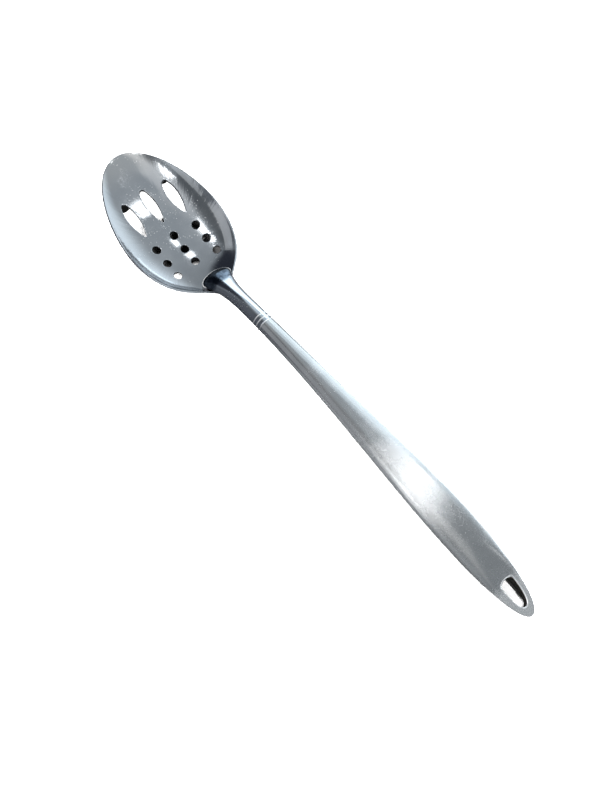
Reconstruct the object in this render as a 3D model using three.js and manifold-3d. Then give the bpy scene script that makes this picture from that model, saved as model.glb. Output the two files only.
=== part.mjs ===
// Slotted serving spoon with a hollow handle, all stainless steel, in millimetres.
// X runs along the spoon from the handle end to the tip of the bowl, Z is up.
// Stations are distances along X from the handle end. Heights are above the table that it lies on.

import * as THREE from 'three';
import { mergeVertices } from 'three/addons/utils/BufferGeometryUtils.js';
import Module from 'manifold-3d';

const wasm = await Module();
wasm.setup();

// Whole spoon
const OVERALL_LENGTH = 339.5;
const JOINT_GAP = 0.3;

// Bowl outline, seen from above
const BOWL_LENGTH = 106;
const BOWL_WIDTH = 63;
const WIDEST_FROM_TIP = 53.3;
const TIP_ROUNDNESS = 17.4;
const TIP_SHOULDER = 22.3;
const REAR_SHOULDER = 37.8;
const TANG_WIDTH = 5;
const TANG_STRAIGHT = 14.2;

// Bowl rim, seen from the side, and the dish below it
const TIP_RIM_HEIGHT = 28.6;
const TIP_RIM_RUN = 36;
const TIP_RIM_DROP = 5.1;
const TANG_HEIGHT = 6.6;
const REAR_RIM_RUN = 22.5;
const REAR_RIM_DIP = 6.4;
const BOWL_DEPTH = 10.2;
const DEPTH_POWER = 1.8;
const WALL_SHARE = 0.35;
const WALL_POWER = 6;
const BOWL_SHEET = 1.1;

// Three slots and nine round holes in the bowl
const SLOT_LENGTH = 19.6;
const SLOT_WIDTH = 6.2;
const SLOT_BLUNT_END = 3;
const SLOT_TAIL_END = 1;
const SLOT_FRONT_FULLNESS = 0.25;
const SLOT_BACK_FULLNESS = 0.125;
const SIDE_SLOT_FROM_TIP = 33.8;
const HOLE_DIAMETER = 5;
const HOLE_PITCH = 10.1;
const HOLES_PER_COLUMN = 3;
const FIRST_HOLE_FROM_TIP = 53.3;
const COLUMN_SPACING = 14.6;
const MIDDLE_COLUMN_LEAD = 2.5;

// Line of the handle and neck, seen from the side
const HANDLE_END_HEIGHT = 2.4;
const END_RISE_RUN = 34;
const END_RISE = 8.1;
const ARCH_TOP_STATION = 150;
const ARCH_TOP_HEIGHT = 16;
const ARCH_REACH_BACK = 50;
const ARCH_REACH_FRONT = 42;
const NECK_FALL_RUN = 27;
const NECK_FALL = 7.8;

// Handle outline, seen from above
const HANDLE_WIDTH = 22.2;
const HANDLE_WIDEST_STATION = 62;
const HANDLE_END_ROUNDNESS = 7.3;
const HANDLE_END_SHOULDER = 35;
const HANDLE_TAPER_START = 34;
const HANDLE_TAPER_END = 62;
const HANDLE_SQUARENESS = 2.1;

// Handle thickness above and below the seam
const UPPER_AT_END = 1.8;
const UPPER_AT_BACK = 5.4;
const UPPER_RUN = 75;
const LOWER_AT_BACK = 6.9;
const LOWER_RUN = 60;
const END_ROUNDING = 5;
const SHELL_WALL = 1;
const SEAM_BEAD = 0.8;

// Flattened land and lined eye for a hook
const EYE_FROM_END = 5.6;
const EYE_LENGTH = 14.4;
const EYE_WIDTH = 7.8;
const EYE_ARCH = 0.9;
const EYE_CORNER = 0.8;
const EYE_BACK_FULLNESS = 0.8;
const SLEEVE_WALL = 0.8;
const TOP_LAND_HEIGHT = 6.2;
const TOP_LAND_SLOPE = 16;
const FOOT_LENGTH = 24;
const FOOT_CUT = 1.6;

// Solid neck shank, its nose on the bowl and its spigot in the handle
const NECK_WIDTH = 9.9;
const NECK_HEIGHT = 9.7;
const NARROWEST_TO_TANG = 15.5;
const FLARE_START = 22;
const FLARE_END = 3;
const NOSE_WIDTH = 18.8;
const NOSE_HEIGHT = 7.6;
const NOSE_SEAT = 0.2;
const NOSE_FROM_TANG_END = 19.3;
const NOSE_ROUNDING = 6.8;
const NOSE_STEEPNESS = 2.4;
const SPIGOT_LENGTH = 18;
const GROOVE_COUNT = 3;
const GROOVE_PITCH = 2.6;
const GROOVE_WIDTH = 0.6;
const GROOVE_FLOOR = 0.2;
const GROOVE_DEPTH = 0.25;
const JOINT_TO_TANG = 32.3;
const RING_BEAD = 0.6;
const WELD_SIZE = 1.4;
const WELD_BACK = 6;

// Fineness of the faceted shapes
const BOWL_ROWS = 32;
const BOWL_COLUMNS = 16;
const LOFT_POINTS = 24;
const HANDLE_STEPS = 32;
const SHANK_STEPS = 12;
const NOSE_STEPS = 6;
const CURVE_STEPS = 10;
const SEARCH_STEPS = 30;
const TOOL_REACH = 40;
const HOLE_SIDES = 20;

const TANG_END = OVERALL_LENGTH - BOWL_LENGTH;
const BOWL_WIDEST = OVERALL_LENGTH - WIDEST_FROM_TIP;
const NECK_NARROWEST = TANG_END - NARROWEST_TO_TANG;
const JOINT = TANG_END - JOINT_TO_TANG;
const NOSE_TIP = TANG_END + NOSE_FROM_TANG_END;
const NOSE_START = NOSE_TIP - NOSE_ROUNDING;

// Curves

function bezier(a, b, c, d) {
  return new THREE.CubicBezierCurve(
    new THREE.Vector2(...a),
    new THREE.Vector2(...b),
    new THREE.Vector2(...c),
    new THREE.Vector2(...d),
  );
}

// Height or half width of a curve at a station, found by halving.
function valueAt(curves, station) {
  const curve = curves.find((c) => station <= Math.max(c.v0.x, c.v3.x)) ?? curves[curves.length - 1];
  const rising = curve.v3.x > curve.v0.x;
  let low = 0;
  let high = 1;
  for (let i = 0; i < SEARCH_STEPS; i++) {
    const middle = (low + high) / 2;
    const before = curve.getPoint(middle).x < station;
    if (before === rising) low = middle;
    else high = middle;
  }
  return curve.getPoint((low + high) / 2).y;
}

const bowlFront = bezier(
  [OVERALL_LENGTH, 0],
  [OVERALL_LENGTH, TIP_ROUNDNESS],
  [BOWL_WIDEST + TIP_SHOULDER, BOWL_WIDTH / 2],
  [BOWL_WIDEST, BOWL_WIDTH / 2],
);
const bowlRear = bezier(
  [BOWL_WIDEST, BOWL_WIDTH / 2],
  [BOWL_WIDEST - REAR_SHOULDER, BOWL_WIDTH / 2],
  [TANG_END + TANG_STRAIGHT, TANG_WIDTH / 2],
  [TANG_END, TANG_WIDTH / 2],
);
const rimSide = bezier(
  [OVERALL_LENGTH, TIP_RIM_HEIGHT],
  [OVERALL_LENGTH - TIP_RIM_RUN, TIP_RIM_HEIGHT - TIP_RIM_DROP],
  [TANG_END + REAR_RIM_RUN, TANG_HEIGHT - REAR_RIM_DIP],
  [TANG_END, TANG_HEIGHT],
);

const noseHeight = TANG_HEIGHT + NOSE_SEAT;
const spine = [
  bezier(
    [0, HANDLE_END_HEIGHT],
    [END_RISE_RUN, HANDLE_END_HEIGHT + END_RISE],
    [ARCH_TOP_STATION - ARCH_REACH_BACK, ARCH_TOP_HEIGHT],
    [ARCH_TOP_STATION, ARCH_TOP_HEIGHT],
  ),
  bezier(
    [ARCH_TOP_STATION, ARCH_TOP_HEIGHT],
    [ARCH_TOP_STATION + ARCH_REACH_FRONT, ARCH_TOP_HEIGHT],
    [NOSE_TIP - NECK_FALL_RUN, noseHeight + NECK_FALL],
    [NOSE_TIP, noseHeight],
  ),
];
const handleOutline = [
  bezier(
    [0, 0],
    [0, HANDLE_END_ROUNDNESS],
    [HANDLE_WIDEST_STATION - HANDLE_END_SHOULDER, HANDLE_WIDTH / 2],
    [HANDLE_WIDEST_STATION, HANDLE_WIDTH / 2],
  ),
  bezier(
    [HANDLE_WIDEST_STATION, HANDLE_WIDTH / 2],
    [HANDLE_WIDEST_STATION + HANDLE_TAPER_START, HANDLE_WIDTH / 2],
    [NECK_NARROWEST - HANDLE_TAPER_END, NECK_WIDTH / 2],
    [NECK_NARROWEST, NECK_WIDTH / 2],
  ),
  bezier(
    [NECK_NARROWEST, NECK_WIDTH / 2],
    [NECK_NARROWEST + FLARE_START, NECK_WIDTH / 2],
    [NOSE_START - FLARE_END, NOSE_WIDTH / 2],
    [NOSE_START, NOSE_WIDTH / 2],
  ),
];

const clamp = THREE.MathUtils.clamp;
const lerp = THREE.MathUtils.lerp;
const smoothstep = THREE.MathUtils.smoothstep;

// Solids

function toManifold(geometry) {
  const bare = geometry.clone();
  bare.deleteAttribute('normal');
  bare.deleteAttribute('uv');
  const merged = mergeVertices(bare);
  return new wasm.Manifold(new wasm.Mesh({
    numProp: 3,
    vertProperties: Float32Array.from(merged.attributes.position.array),
    triVerts: Uint32Array.from(merged.index.array),
  }));
}

function toGeometry(solid) {
  const mesh = solid.getMesh();
  const geometry = new THREE.BufferGeometry();
  geometry.setAttribute('position', new THREE.BufferAttribute(mesh.vertProperties, 3));
  geometry.setIndex(new THREE.BufferAttribute(mesh.triVerts, 1));
  geometry.computeVertexNormals();
  return geometry;
}

function indexed(points, triangles) {
  const geometry = new THREE.BufferGeometry();
  geometry.setAttribute('position', new THREE.Float32BufferAttribute(points.flatMap((p) => p.toArray()), 3));
  geometry.setIndex(triangles.flat());
  return geometry;
}

// A closed skin over oval sections. Each half of a section has its own height, and the ends are capped.
function loft(sections) {
  const points = [];
  const triangles = [];
  for (const { x, z, half, up, down, square } of sections) {
    for (let k = 0; k < LOFT_POINTS; k++) {
      const angle = (2 * Math.PI * k) / LOFT_POINTS;
      const across = Math.cos(angle);
      const above = Math.sin(angle);
      const y = half * Math.sign(across) * Math.abs(across) ** (2 / square);
      const rise = Math.sign(above) * Math.abs(above) ** (2 / square);
      points.push(new THREE.Vector3(x, y, z + rise * (above > 0 ? up : down)));
    }
  }
  for (let i = 0; i + 1 < sections.length; i++) {
    for (let k = 0; k < LOFT_POINTS; k++) {
      const next = (k + 1) % LOFT_POINTS;
      const a = i * LOFT_POINTS + k;
      const b = i * LOFT_POINTS + next;
      triangles.push([a, b, a + LOFT_POINTS], [b, b + LOFT_POINTS, a + LOFT_POINTS]);
    }
  }
  for (const [end, turned] of [[0, true], [sections.length - 1, false]]) {
    const { x, z } = sections[end];
    const centre = points.push(new THREE.Vector3(x, 0, z)) - 1;
    for (let k = 0; k < LOFT_POINTS; k++) {
      const a = end * LOFT_POINTS + k;
      const b = end * LOFT_POINTS + ((k + 1) % LOFT_POINTS);
      triangles.push(turned ? [centre, b, a] : [centre, a, b]);
    }
  }
  return toManifold(indexed(points, triangles));
}

// A straight-sided solid over an outline drawn on the XY plane.
function upright(shape, low, high) {
  const geometry = new THREE.ExtrudeGeometry(shape, {
    depth: high - low,
    bevelEnabled: false,
    curveSegments: CURVE_STEPS,
  });
  geometry.translate(0, 0, low);
  return toManifold(geometry);
}

function block(low, high) {
  const size = high.map((value, i) => value - low[i]);
  const geometry = new THREE.BoxGeometry(...size);
  geometry.translate(...low.map((value, i) => value + size[i] / 2));
  return toManifold(geometry);
}

// Bowl

function bowlHalfWidth(x) {
  return valueAt(x > BOWL_WIDEST ? [bowlFront] : [bowlRear], x);
}

// Height of the bowl's inner face. The floor lies deeper where the bowl is wider.
function bowlFace(x, half, across) {
  const rim = valueAt([rimSide], x);
  const deep = BOWL_DEPTH * (half / (BOWL_WIDTH / 2)) ** DEPTH_POWER;
  const rise = (1 - WALL_SHARE) * across ** 2 + WALL_SHARE * Math.abs(across) ** WALL_POWER;
  return rim - deep * (1 - rise);
}

function bowlStations() {
  const front = bowlFront.getPoints(BOWL_ROWS / 2);
  const rear = bowlRear.getPoints(BOWL_ROWS / 2);
  return [...front, ...rear.slice(1)].map((p) => ({ x: p.x, half: p.y }));
}

// Grid of points across the bowl, from one rim to the other at each station.
function bowlGrid(stations, place) {
  const points = [];
  const triangles = [];
  for (const { x, half } of stations) {
    for (let j = 0; j <= BOWL_COLUMNS; j++) {
      const across = -Math.cos((Math.PI * j) / BOWL_COLUMNS);
      points.push(place(x, half, across));
    }
  }
  const row = BOWL_COLUMNS + 1;
  for (let i = 0; i + 1 < stations.length; i++) {
    for (let j = 0; j < BOWL_COLUMNS; j++) {
      const a = i * row + j;
      triangles.push([a, a + 1, a + row], [a + 1, a + row + 1, a + row]);
    }
  }
  return { points, triangles, row };
}

// Merges the points that fall together at the tip and drops the triangles that this flattens.
function openSurface({ points, triangles }) {
  const merged = mergeVertices(indexed(points, triangles));
  const index = merged.index.array;
  const kept = [];
  for (let i = 0; i < index.length; i += 3) {
    const [a, b, c] = index.slice(i, i + 3);
    if (a !== b && b !== c && c !== a) kept.push(a, b, c);
  }
  merged.setIndex(kept);
  merged.computeVertexNormals();
  return merged;
}

// Gives an open surface a wall below it and closes the edge all round.
function thicken(surface, wall) {
  const count = surface.attributes.position.count;
  const points = [];
  for (let i = 0; i < count; i++) {
    points.push(new THREE.Vector3().fromBufferAttribute(surface.attributes.position, i));
  }
  for (let i = 0; i < count; i++) {
    const normal = new THREE.Vector3().fromBufferAttribute(surface.attributes.normal, i);
    points.push(points[i].clone().addScaledVector(normal, -wall));
  }
  const index = surface.index.array;
  const triangles = [];
  const edges = new Map();
  for (let i = 0; i < index.length; i += 3) {
    const [a, b, c] = index.slice(i, i + 3);
    triangles.push([a, b, c], [c + count, b + count, a + count]);
    for (const [from, to] of [[a, b], [b, c], [c, a]]) edges.set(`${from} ${to}`, [from, to]);
  }
  for (const [from, to] of edges.values()) {
    if (edges.has(`${to} ${from}`)) continue;
    triangles.push([from, from + count, to], [to, from + count, to + count]);
  }
  return toManifold(indexed(points, triangles));
}

function bowlBlank() {
  const place = (x, half, across) => new THREE.Vector3(x, half * across, bowlFace(x, half, across));
  return thicken(openSurface(bowlGrid(bowlStations(), place)), BOWL_SHEET);
}

// A leaf-shaped slot: blunt towards the tip of the bowl, narrow towards the handle.
function slotShape(x, y) {
  const front = x + SLOT_LENGTH / 2;
  const back = x - SLOT_LENGTH / 2;
  const bulge = (SLOT_WIDTH * 2) / 3;
  const full = SLOT_LENGTH * SLOT_FRONT_FULLNESS;
  const lean = SLOT_LENGTH * SLOT_BACK_FULLNESS;
  const blunt = SLOT_BLUNT_END / 2;
  const tail = SLOT_TAIL_END / 2;
  const shape = new THREE.Shape();
  shape.moveTo(front, y - blunt);
  shape.quadraticCurveTo(front + blunt / 2, y, front, y + blunt);
  shape.bezierCurveTo(x + full, y + bulge, x - lean, y + bulge, back, y + tail);
  shape.quadraticCurveTo(back - tail, y, back, y - tail);
  shape.bezierCurveTo(x - lean, y - bulge, x + full, y - bulge, front, y - blunt);
  return shape;
}

function roundPunch(x, y) {
  const geometry = new THREE.CylinderGeometry(HOLE_DIAMETER / 2, HOLE_DIAMETER / 2, TOOL_REACH, HOLE_SIDES);
  geometry.rotateX(Math.PI / 2);
  geometry.translate(x, y, TOOL_REACH / 4);
  return toManifold(geometry);
}

function bowlPunches() {
  const punches = [];
  for (const column of [-1, 0, 1]) {
    const lead = column === 0 ? MIDDLE_COLUMN_LEAD : 0;
    const y = column * COLUMN_SPACING;
    const slotStation = OVERALL_LENGTH - SIDE_SLOT_FROM_TIP + lead;
    punches.push(upright(slotShape(slotStation, y), -TOOL_REACH, TOOL_REACH));
    for (let i = 0; i < HOLES_PER_COLUMN; i++) {
      punches.push(roundPunch(OVERALL_LENGTH - FIRST_HOLE_FROM_TIP - i * HOLE_PITCH + lead, y));
    }
  }
  return punches;
}

function makeBowl() {
  return bowlPunches().reduce((sheet, punch) => sheet.subtract(punch), bowlBlank());
}

// Everything below the rear of the bowl's inner face, raised by a gap and widened by a margin.
function underBowl(gap, margin) {
  const reach = NOSE_TIP + NOSE_ROUNDING;
  const stations = bowlStations().filter((s) => s.x < reach);
  stations.push({ x: TANG_END - JOINT_GAP, half: TANG_WIDTH / 2 });
  const place = (x, half, across) => {
    const y = (half + margin) * across;
    return new THREE.Vector3(x, y, bowlFace(x, half, clamp(y / half, -1, 1)) + gap);
  };
  const { points, triangles, row } = bowlGrid(stations, place);
  const count = points.length;
  for (let i = 0; i < count; i++) points.push(points[i].clone().setZ(-TOOL_REACH));
  const closed = [];
  for (const [a, b, c] of triangles) closed.push([a, b, c], [c + count, b + count, a + count]);
  const rim = [];
  for (let j = 0; j < row; j++) rim.push(j);
  for (let i = 1; i < stations.length; i++) rim.push(i * row + row - 1);
  for (let j = row - 2; j >= 0; j--) rim.push((stations.length - 1) * row + j);
  for (let i = stations.length - 2; i > 0; i--) rim.push(i * row);
  rim.forEach((from, i) => {
    const to = rim[(i + 1) % rim.length];
    closed.push([to, from, from + count], [to, from + count, to + count]);
  });
  return toManifold(indexed(points, closed));
}

// Handle and neck

const bowl = makeBowl();
const table = bowl.boundingBox().min[2];

function squareAt(x) {
  return lerp(HANDLE_SQUARENESS, 2, smoothstep(x, HANDLE_WIDEST_STATION, NECK_NARROWEST));
}

function upperAt(x) {
  const t = clamp(x / UPPER_RUN, 0, 1);
  const back = lerp(UPPER_AT_END, UPPER_AT_BACK, 1 - (1 - t) ** 2);
  return lerp(back, NECK_HEIGHT / 2, smoothstep(x, UPPER_RUN, NECK_NARROWEST));
}

// Below the eye the underside runs level, just past the table, so that it can be cut flat there.
function lowerAt(x) {
  const level = valueAt(spine, x) - table + FOOT_CUT;
  const back = lerp(level, LOWER_AT_BACK, smoothstep(x, FOOT_LENGTH, LOWER_RUN));
  return lerp(back, NECK_HEIGHT / 2, smoothstep(x, LOWER_RUN, NECK_NARROWEST));
}

function endRoundAt(x) {
  return Math.sqrt(1 - (1 - clamp(x / END_ROUNDING, 0, 1)) ** 2);
}

function handleSection(x, half, inset) {
  const round = endRoundAt(x - inset);
  return {
    x,
    z: valueAt(spine, x),
    half: half - inset,
    up: (upperAt(x) - inset) * round,
    down: (lowerAt(x) - inset) * round,
    square: squareAt(x),
  };
}

// Handle skin from the closed end to a station, or the space inside it for an inset of one wall.
function handleBody(inset, end) {
  const [back, taper] = handleOutline;
  const stations = [...back.getPoints(HANDLE_STEPS / 2), ...taper.getPoints(HANDLE_STEPS / 2).slice(1)];
  const inside = stations.filter((p) => p.x > inset && p.y > inset && p.x < end);
  const sections = inside.map((p) => handleSection(p.x, p.y, inset));
  sections.push(handleSection(end, valueAt(handleOutline, end), inset));
  return loft(sections);
}

const eyeMiddle = EYE_FROM_END + EYE_LENGTH / 2;

// Everything above the sloping land around the eye, lowered by one wall for the space inside.
function aboveLand(inset) {
  const geometry = new THREE.BoxGeometry(2 * TOOL_REACH, TOOL_REACH, TOOL_REACH);
  geometry.translate(0, 0, TOOL_REACH / 2 - inset);
  geometry.rotateY(-THREE.MathUtils.degToRad(TOP_LAND_SLOPE));
  geometry.translate(eyeMiddle, 0, TOP_LAND_HEIGHT);
  return toManifold(geometry);
}

function belowFoot(inset) {
  return block([-TOOL_REACH, -TOOL_REACH, table - TOOL_REACH], [2 * TOOL_REACH, TOOL_REACH, table + inset]);
}

// Bullet-shaped outline of the eye, arched towards the bowl, wider and longer all round by grow.
function eyeShape(grow) {
  const half = EYE_WIDTH / 2 + grow;
  const back = EYE_FROM_END - grow;
  const front = EYE_FROM_END + EYE_LENGTH + grow - EYE_ARCH;
  const side = (front - back) / 2;
  const shape = new THREE.Shape();
  const full = half * EYE_BACK_FULLNESS;
  const inner = half - EYE_CORNER;
  const corner = front - (2 * EYE_ARCH * EYE_CORNER) / inner;
  const flank = corner - EYE_CORNER;
  shape.moveTo(back, 0);
  shape.bezierCurveTo(back, full, back + side, half, flank, half);
  shape.quadraticCurveTo(corner, half, front, inner);
  shape.quadraticCurveTo(front + 2 * EYE_ARCH, 0, front, -inner);
  shape.quadraticCurveTo(corner, -half, flank, -half);
  shape.bezierCurveTo(back + side, -half, back, -full, back, 0);
  return shape;
}

function flattened(solid, inset) {
  return solid.subtract(aboveLand(inset)).subtract(belowFoot(inset));
}

function handleTube() {
  const end = JOINT - RING_BEAD / 2 - JOINT_GAP;
  const outside = flattened(handleBody(0, end), 0);
  const inside = flattened(handleBody(SHELL_WALL, end + SHELL_WALL), SHELL_WALL);
  const eye = upright(eyeShape(SLEEVE_WALL + JOINT_GAP), -TOOL_REACH, TOOL_REACH);
  return outside.subtract(inside).subtract(eye);
}

// The side of the handle's seam above (1) or below (-1) a line that lies offset from it.
function seamSide(side, offset) {
  const steps = spine[0].getPoints(HANDLE_STEPS);
  steps.push(...spine[1].getPoints(HANDLE_STEPS).slice(1));
  const line = steps.map((p) => new THREE.Vector2(p.x, p.y + offset));
  const outline = [
    new THREE.Vector2(-TOOL_REACH, line[0].y),
    ...line,
    new THREE.Vector2(OVERALL_LENGTH, line[line.length - 1].y),
    new THREE.Vector2(OVERALL_LENGTH, side * 2 * TOOL_REACH),
    new THREE.Vector2(-TOOL_REACH, side * 2 * TOOL_REACH),
  ];
  const geometry = new THREE.ExtrudeGeometry(new THREE.Shape(outline), {
    depth: 2 * TOOL_REACH,
    bevelEnabled: false,
  });
  geometry.rotateX(Math.PI / 2);
  geometry.translate(0, TOOL_REACH, 0);
  return toManifold(geometry);
}

function makeUpperShell(tube) {
  return tube.intersect(seamSide(1, SEAM_BEAD / 2 + JOINT_GAP));
}

function makeLowerShell(tube) {
  return tube.intersect(seamSide(-1, -SEAM_BEAD / 2 - JOINT_GAP));
}

// The bead lies in the seam, all round the closed end of the handle.
function makeSeamWeld(tube) {
  return tube.intersect(seamSide(1, -SEAM_BEAD / 2)).intersect(seamSide(-1, SEAM_BEAD / 2));
}

function makeEyeSleeve() {
  const outside = upright(eyeShape(SLEEVE_WALL), -TOOL_REACH / 2, TOOL_REACH / 2);
  const opening = upright(eyeShape(0), -TOOL_REACH, TOOL_REACH);
  return flattened(outside.subtract(opening), 0);
}

function shankSection(x, grow) {
  const nose = clamp((x - NOSE_START) / NOSE_ROUNDING, 0, 1);
  const half = valueAt(handleOutline, Math.min(x, NOSE_START));
  const tall = lerp(NECK_HEIGHT, NOSE_HEIGHT, smoothstep(x, NECK_NARROWEST, NOSE_START)) / 2;
  const height = tall * (1 - nose ** NOSE_STEEPNESS) ** (1 / NOSE_STEEPNESS);
  return {
    x: x + grow * nose,
    z: valueAt(spine, x),
    half: half * Math.sqrt(1 - nose ** 2) + grow,
    up: height + grow,
    down: height + grow,
    square: 2,
  };
}

function shrunk(section, depth) {
  return { ...section, half: section.half - depth, up: section.up - depth, down: section.down - depth };
}

function grooveSections(x) {
  const edge = GROOVE_WIDTH / 2;
  const floor = GROOVE_FLOOR / 2;
  return [
    shankSection(x - edge, 0),
    shrunk(shankSection(x - floor, 0), GROOVE_DEPTH),
    shrunk(shankSection(x + floor, 0), GROOVE_DEPTH),
    shankSection(x + edge, 0),
  ];
}

// Front part of the shank, from a station to the rounded nose that sits on the bowl.
function shankFront(start, grow) {
  const sections = [];
  for (let i = 0; i <= SHANK_STEPS; i++) {
    sections.push(shankSection(lerp(start, NOSE_START, i / SHANK_STEPS), grow));
  }
  for (let i = 1; i <= NOSE_STEPS; i++) {
    const angle = (Math.PI / 2) * (i / NOSE_STEPS);
    sections.push(shankSection(NOSE_START + NOSE_ROUNDING * Math.sin(angle), grow));
  }
  return sections;
}

// The part of the shank that sits in the handle, or the bore around it.
function spigotSections(clearance, end) {
  const start = JOINT - SPIGOT_LENGTH;
  const root = shrunk(shankSection(JOINT, 0), SHELL_WALL + clearance);
  const along = (x) => ({ ...root, x, z: valueAt(spine, x) });
  return [along(start), along((start + end) / 2), along(end)];
}

function makeShank() {
  const shoulder = JOINT + RING_BEAD / 2 + JOINT_GAP;
  const sections = spigotSections(JOINT_GAP, shoulder);
  sections.push(shankSection(shoulder, 0));
  let last = shoulder;
  for (let i = 1; i < GROOVE_COUNT; i++) {
    last = JOINT + i * GROOVE_PITCH;
    sections.push(...grooveSections(last));
  }
  sections.push(...shankFront(last + GROOVE_PITCH, 0));
  return loft(sections).subtract(underBowl(JOINT_GAP, NOSE_WIDTH));
}

// The ring of weld under the rear groove joins the handle shells to the shank.
function makeRingWeld() {
  const low = JOINT - RING_BEAD / 2;
  const high = JOINT + RING_BEAD / 2;
  const outside = [low, high].map((x) => shrunk(shankSection(x, 0), GROOVE_DEPTH));
  const bore = spigotSections(0, high + RING_BEAD);
  return loft(outside).subtract(loft(bore));
}

// A fillet of weld runs round the nose, where it meets the floor of the bowl.
function makeBowlWeld() {
  const around = loft(shankFront(NOSE_START - WELD_BACK, JOINT_GAP + WELD_SIZE));
  const shank = loft(shankFront(NECK_NARROWEST, JOINT_GAP));
  const band = underBowl(JOINT_GAP + WELD_SIZE, 0).subtract(underBowl(JOINT_GAP, NOSE_WIDTH));
  return around.intersect(band).subtract(shank);
}

// Assembly

const mirrorSteel = { color: 0x9aa0a3, roughness: 0.12, metalness: 1 };
const satinSteel = { color: 0xa8acae, roughness: 0.28, metalness: 1 };
const polishedSteel = { color: 0x8f979e, roughness: 0.16, metalness: 1 };
const weldSteel = { color: 0xc4c7c9, roughness: 0.35, metalness: 1 };

function meshOf(name, solid, look) {
  const mesh = new THREE.Mesh(toGeometry(solid), new THREE.MeshStandardMaterial(look));
  mesh.name = name;
  return mesh;
}

const tube = handleTube();
const spoon = new THREE.Group();
spoon.add(
  meshOf('bowl', bowl, mirrorSteel),
  meshOf('bowl_weld', makeBowlWeld(), weldSteel),
  meshOf('neck_shank', makeShank(), polishedSteel),
  meshOf('neck_ring_weld', makeRingWeld(), weldSteel),
  meshOf('handle_upper_shell', makeUpperShell(tube), satinSteel),
  meshOf('handle_lower_shell', makeLowerShell(tube), satinSteel),
  meshOf('handle_seam_weld', makeSeamWeld(tube), weldSteel),
  meshOf('hanging_eye_sleeve', makeEyeSleeve(), polishedSteel),
);

// The origin is under the middle of the spoon, on the table.
const bounds = new THREE.Box3().setFromObject(spoon);
const centre = bounds.getCenter(new THREE.Vector3());
spoon.position.set(-centre.x, -centre.y, -bounds.min.z);
spoon.updateMatrixWorld(true);

export default spoon;
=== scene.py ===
import math
from functools import lru_cache

import bmesh
import bpy
from mathutils import Matrix, Vector


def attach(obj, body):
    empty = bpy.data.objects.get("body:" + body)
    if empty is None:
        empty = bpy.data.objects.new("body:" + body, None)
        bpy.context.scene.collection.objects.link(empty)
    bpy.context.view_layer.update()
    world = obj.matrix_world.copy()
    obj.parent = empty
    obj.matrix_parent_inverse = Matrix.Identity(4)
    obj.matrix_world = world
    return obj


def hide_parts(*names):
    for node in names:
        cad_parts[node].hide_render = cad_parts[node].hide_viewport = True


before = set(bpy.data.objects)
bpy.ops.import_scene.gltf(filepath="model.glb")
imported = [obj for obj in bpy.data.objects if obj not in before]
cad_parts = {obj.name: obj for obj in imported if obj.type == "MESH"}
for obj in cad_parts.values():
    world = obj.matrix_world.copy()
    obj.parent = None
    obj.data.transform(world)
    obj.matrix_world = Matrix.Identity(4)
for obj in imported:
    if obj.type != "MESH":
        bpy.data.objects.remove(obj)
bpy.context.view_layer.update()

# Bowl. A stainless sheet about 1.1 mm thick, pressed into an oval dish, with three leaf-shaped
# slots and nine round holes punched through it from above, then polished like a mirror.
# Its rim is rounded over. Its rear narrows to a short tang that lies under the neck.

MM = 0.001
HANDLE_END_X = -170.259
TABLE_Z = 0.2455

BOWL_TIP = 339.5
BOWL_WIDEST = 286.2
TANG_END = 233.5
BOWL_HALF_WIDTH = 31.5
BOWL_DEPTH = 10.2
DEPTH_POWER = 1.8
WALL_SHARE = 0.35
WALL_POWER = 6
BOWL_SHEET = 1.1
RIM_ROUND = 0.4
BOWL_FRONT_LINE = ((339.5, 0), (339.5, 17.4), (308.5, 31.5), (286.2, 31.5))
BOWL_REAR_LINE = ((286.2, 31.5), (248.4, 31.5), (247.7, 2.5), (233.5, 2.5))
RIM_SIDE_LINE = ((339.5, 28.6), (303.5, 23.5), (256, 0.2), (233.5, 6.6))
BOWL_ROWS = 150
BOWL_COLUMNS = 96

SLOT_LENGTH = 19.6
SLOT_WIDTH = 6.2
SLOT_BLUNT_END = 3
SLOT_TAIL_END = 1
SLOT_STEPS = 24
SIDE_SLOT_STATION = 305.7
HOLE_DIAMETER = 5
HOLE_SIDES = 36
HOLE_PITCH = 10.1
FIRST_HOLE_STATION = 286.2
COLUMN_SPACING = 14.6
MIDDLE_COLUMN_LEAD = 2.5
LIP_ROUND = 0.34
# The punch from below the sheet to above it: how much wider it is, and its height over the face.
PUNCH_PROFILE = ((0, -14), (0, -0.34), (0.03, -0.21), (0.1, -0.1), (0.21, -0.03), (LIP_ROUND, 0.004),
                 (LIP_ROUND + 0.5, 0.7), (LIP_ROUND + 0.5, 9))

# Places on the polished face, in millimetres of the shared frame: where the streaks of the press
# start, the middles of two shallow dents in its relief, and the middle of the patch where the specks, with
# their painted glint, gather most.
PRESS_MIDDLE = 116
DENT_PLACES = ((147, 6.5, 17), (155, -18.5, 24))
DENT_REACH = 17
DENT_RISE = 2.8
SPECK_GATHER_PLACE = (133, 5, 13)


def at(station, y, height):
    """A point given in millimetres from the handle's closed end and from the table."""
    return Vector((station + HANDLE_END_X, y, height + TABLE_Z)) * MM


def on_line(line, t):
    """A point of a cubic curve drawn in a plane."""
    s = 1 - t
    shares = (s**3, 3 * s * s * t, 3 * s * t * t, t**3)
    return Vector([sum(share * p[i] for share, p in zip(shares, line)) for i in (0, 1)])


@lru_cache(maxsize=None)
def value_at(line, station):
    """Height or half width of a curve at a station, found by halving."""
    low, high = 0.0, 1.0
    rising = line[3][0] > line[0][0]
    for _ in range(30):
        middle = (low + high) / 2
        if (on_line(line, middle).x < station) == rising:
            low = middle
        else:
            high = middle
    return on_line(line, (low + high) / 2).y


def bowl_half_width(station):
    return value_at(BOWL_FRONT_LINE if station > BOWL_WIDEST else BOWL_REAR_LINE, station)


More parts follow.
